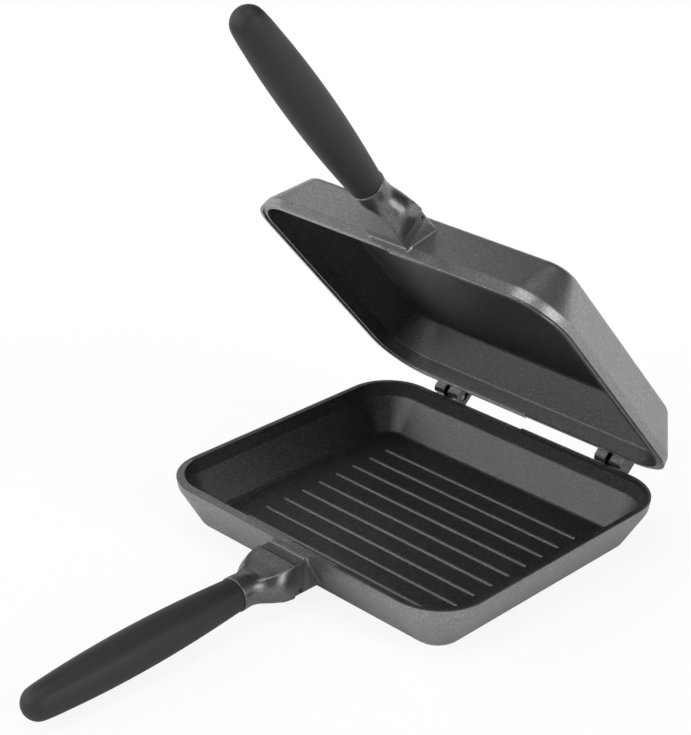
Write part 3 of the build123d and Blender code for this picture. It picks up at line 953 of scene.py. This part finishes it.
def stage_finish(name):
    """White paper: the camera sees it as almost plain white, and it keeps the pan's shadow."""
    stage = settings().stage
    finish = Finish(name, stage.white)
    cloud = finish.noise(finish.place(), PAPER_CLOUD, detail=2, roughness=0.5)
    paper = finish.tone(cloud, shaded(stage.white, 0.985), stage.white)
    diffuse = finish.node("ShaderNodeBsdfDiffuse", None, {"Color": paper})
    glow = finish.node("ShaderNodeEmission", None, {"Color": (1, 1, 1, 1), "Strength": 1.0})
    seen, glossy, through = [
        finish.node("ShaderNodeLightPath", output=ray)
        for ray in ("Is Camera Ray", "Is Glossy Ray", "Is Transmission Ray")]
    share = seen * stage.glow + (glossy + through).at_most(1) * stage.mirrored_glow
    finish.show(finish.node("ShaderNodeMixShader", None, {0: share, 1: diffuse, 2: glow}))
    return finish.material


def add_light(name, data, towards):
    """Places a light's data in the scene, shining from a direction at the pan."""
    light = bpy.data.objects.new(name, data)
    light.rotation_euler = Vector(towards).to_track_quat("Z", "Y").to_euler()
    bpy.context.scene.collection.objects.link(light)
    return light


def window_light(name, towards, width, power):
    """A soft light from far away, of an angular width, that lights the whole floor alike."""
    data = bpy.data.lights.new(name, "SUN")
    data.angle = width
    data.energy = power
    add_light(name, data, towards)


def near_lamp(stage):
    """A small square lamp close to the pan, aimed at it."""
    data = bpy.data.lights.new("near_lamp", "AREA")
    data.size = stage.lamp_size
    data.energy = stage.lamp_power
    add_light("near_lamp", data, stage.lamp_place).location = stage.lamp_place


def room_light(strength):
    """Even white light from all round."""
    world = bpy.data.worlds.new("studio")
    bpy.context.scene.world = world
    world.use_nodes = True
    room = world.node_tree.nodes["Background"]
    room.inputs["Color"].default_value = (1, 1, 1, 1)
    room.inputs["Strength"].default_value = strength


def set_camera(stage):
    """The camera, turned round the pan and tilted by its settings."""
    data = bpy.data.cameras.new("camera")
    data.lens = stage.lens
    data.sensor_width = SENSOR_WIDTH
    data.clip_start = CLIP_START
    camera = bpy.data.objects.new("camera", data)
    turn, height, roll = stage.camera_turn, stage.camera_height, stage.camera_roll
    back = Vector((sin(turn) * cos(height), -cos(turn) * cos(height), sin(height)))
    right = (-back).cross(Vector((0, 0, 1))).normalized()
    up = right.cross(-back)
    rolled_right = cos(roll) * right + sin(roll) * up
    rolled_up = cos(roll) * up - sin(roll) * right
    turned = Matrix((rolled_right, rolled_up, back)).transposed().to_4x4()
    camera.matrix_world = Matrix.Translation(stage.camera_place) @ turned
    bpy.context.scene.collection.objects.link(camera)
    bpy.context.scene.camera = camera


class FLIPPAN_OT_stage(Operator):
    """Set the floor with its rising edge, the lights and the camera"""
    bl_idname = "flip_pan.stage"
    bl_label = "Stage"

    def execute(self, context):
        stage = settings().stage
        form = spun([(out, up - FLOOR_DROP) for out, up in FLOOR_PROFILE], FLOOR_STEPS)
        floor = made_object("floor", form, stage_finish("stage_paper"), merge=FLOOR_MERGE_DISTANCE)
        room_light(stage.room)
        for side in WINDOWS:
            towards = getattr(stage, side + "_window")
            window_light(side + "_window", towards, stage.window_width, getattr(stage, side + "_power"))
        near_lamp(stage)
        set_camera(stage)
        context.scene.view_settings.view_transform = "Standard"
        return {"FINISHED"}


class FlipPanSettings(PropertyGroup):
    """All settings of the flip pan."""
    shell: PointerProperty(type=ShellSettings, name="Shells", description="The cast shells")
    grip: PointerProperty(type=GripSettings, name="Grips", description="The grips")
    bracket: PointerProperty(type=BracketSettings, name="Brackets", description="The handle brackets")
    metal: PointerProperty(type=MetalSettings, name="Metal", description="The small metal and plastic parts")
    stage: PointerProperty(type=StageSettings, name="Stage", description="The studio round the pan")


BUILD_ORDER = (
    FLIPPAN_OT_shells,
    FLIPPAN_OT_brackets,
    FLIPPAN_OT_grips,
    FLIPPAN_OT_hinges,
    FLIPPAN_OT_fixings,
    FLIPPAN_OT_stage,
)


class FLIPPAN_PT_panel(Panel):
    """The flip pan's sizes, colours and build steps"""
    bl_idname = "FLIPPAN_PT_panel"
    bl_label = "Flip Pan"
    bl_space_type = "VIEW_3D"
    bl_region_type = "UI"
    bl_category = "Flip Pan"

    def draw(self, context):
        layout = self.layout
        for step in BUILD_ORDER:
            layout.operator(step.bl_idname)
        for group in ("shell", "grip", "bracket", "metal", "stage"):
            values = getattr(context.scene.flip_pan_settings, group)
            box = layout.box()
            for name in values.__annotations__:
                box.prop(values, name)


CLASSES = (
    ShellSettings,
    GripSettings,
    BracketSettings,
    MetalSettings,
    StageSettings,
    FlipPanSettings,
    *BUILD_ORDER,
    FLIPPAN_PT_panel,
)


def register():
    for each in CLASSES:
        bpy.utils.register_class(each)
    bpy.types.Scene.flip_pan_settings = PointerProperty(type=FlipPanSettings)


def unregister():
    del bpy.types.Scene.flip_pan_settings
    for each in reversed(CLASSES):
        bpy.utils.unregister_class(each)


def main():
    """Builds every piece in order."""
    register()
    for step in BUILD_ORDER:
        group, name = step.bl_idname.split(".")
        getattr(getattr(bpy.ops, group), name)()


if __name__ == "__main__":
    main()
